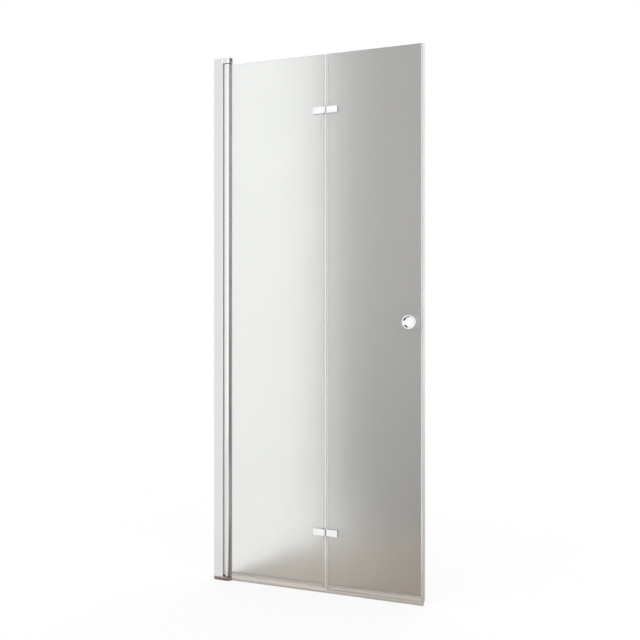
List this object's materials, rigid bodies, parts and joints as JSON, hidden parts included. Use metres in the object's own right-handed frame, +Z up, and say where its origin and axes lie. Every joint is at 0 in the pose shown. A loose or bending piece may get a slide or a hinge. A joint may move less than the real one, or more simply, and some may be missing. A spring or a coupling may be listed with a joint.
{
  "type": "bifold shower door",
  "caption": "Frameless bifold shower door: a wall profile with a pivot column and satin glass panes that fold into the shower on a fold hinge, with a round knob.",
  "frame": {"origin": "on the wall plane, at the middle of the wall profile's back edge on the shower tray: the wall plane is X = 0, the middle of the closed glass is Y = 0 and the tray is Z = 0", "axes": "+X runs from the wall along the closed door to its closing edge, +Y points into the shower, +Z points up"},
  "size_m": [0.8, 0.06, 1.95],
  "materials": {
    "polished_profile": "bright chrome-look polished and anodised aluminium extrusion",
    "plated_plastic": "moulded plastic with a bright chrome plating",
    "chrome_plate": "polished chrome plate on cast and turned metal",
    "stainless_steel": "plain turned stainless steel",
    "white_nylon": "natural white nylon, matt",
    "dark_nylon": "dark nylon, matt",
    "grey_rubber": "soft grey rubber, matt",
    "clear_seal": "clear soft plastic extrusion, slightly milky",
    "satin_glass": "toughened safety glass with a faint satin face"
  },
  "bodies": {
    "wall_frame": {"wall_channel": "polished_profile", "channel_top_cap": "plated_plastic", "channel_bottom_cap": "plated_plastic", "adjusting_profile": "polished_profile", "column_gasket": "grey_rubber", "top_pivot_bracket": "chrome_plate", "bottom_pivot_bracket": "chrome_plate", "top_pivot_bush": "dark_nylon", "bottom_pivot_bush": "dark_nylon", "top_bracket_screws": "stainless_steel", "bottom_bracket_screws": "stainless_steel", "locking_screws": "stainless_steel", "locking_screw_caps": "plated_plastic"},
    "hinge_leaf": {"pivot_column": "polished_profile", "top_column_plug": "white_nylon", "bottom_column_plug": "white_nylon", "top_pivot_pin": "stainless_steel", "bottom_pivot_pin": "stainless_steel", "glazing_gasket": "grey_rubber", "hinge_side_glass": "satin_glass", "hinge_side_bottom_seal": "clear_seal", "fold_bulb_seal": "clear_seal", "lower_hinge_fixed_leaf": "chrome_plate", "lower_hinge_fixed_clamp": "chrome_plate", "lower_hinge_fixed_outer_pad": "grey_rubber", "lower_hinge_fixed_inner_pad": "grey_rubber", "lower_hinge_fixed_screws": "stainless_steel", "lower_hinge_pin": "stainless_steel", "upper_hinge_fixed_leaf": "chrome_plate", "upper_hinge_fixed_clamp": "chrome_plate", "upper_hinge_fixed_outer_pad": "grey_rubber", "upper_hinge_fixed_inner_pad": "grey_rubber", "upper_hinge_fixed_screws": "stainless_steel", "upper_hinge_pin": "stainless_steel"},
    "closing_leaf": {"closing_side_glass": "satin_glass", "closing_side_bottom_seal": "clear_seal", "fold_strike_seal": "clear_seal", "closing_edge_seal": "clear_seal", "outer_knob": "chrome_plate", "inner_knob": "chrome_plate", "knob_stud": "stainless_steel", "knob_washers": "grey_rubber", "knob_sleeve": "white_nylon", "knob_grub_screw": "stainless_steel", "lower_hinge_moving_leaf": "chrome_plate", "lower_hinge_moving_clamp": "chrome_plate", "lower_hinge_moving_outer_pad": "grey_rubber", "lower_hinge_moving_inner_pad": "grey_rubber", "lower_hinge_moving_screws": "stainless_steel", "upper_hinge_moving_leaf": "chrome_plate", "upper_hinge_moving_clamp": "chrome_plate", "upper_hinge_moving_outer_pad": "grey_rubber", "upper_hinge_moving_inner_pad": "grey_rubber", "upper_hinge_moving_screws": "stainless_steel"}
  },
  "joints": [
    {"name": "wall_pivot", "type": "hinge", "parent": "wall_frame", "child": "hinge_leaf", "pos_m": [0.052, 0, 0.975], "axis": [0, 0, 1], "range_deg": [0, 90]},
    {"name": "fold_hinge", "type": "hinge", "parent": "hinge_leaf", "child": "closing_leaf", "pos_m": [0.44, -0.01, 0.971], "axis": [0, 0, -1], "range_deg": [0, 177]}
  ]
}
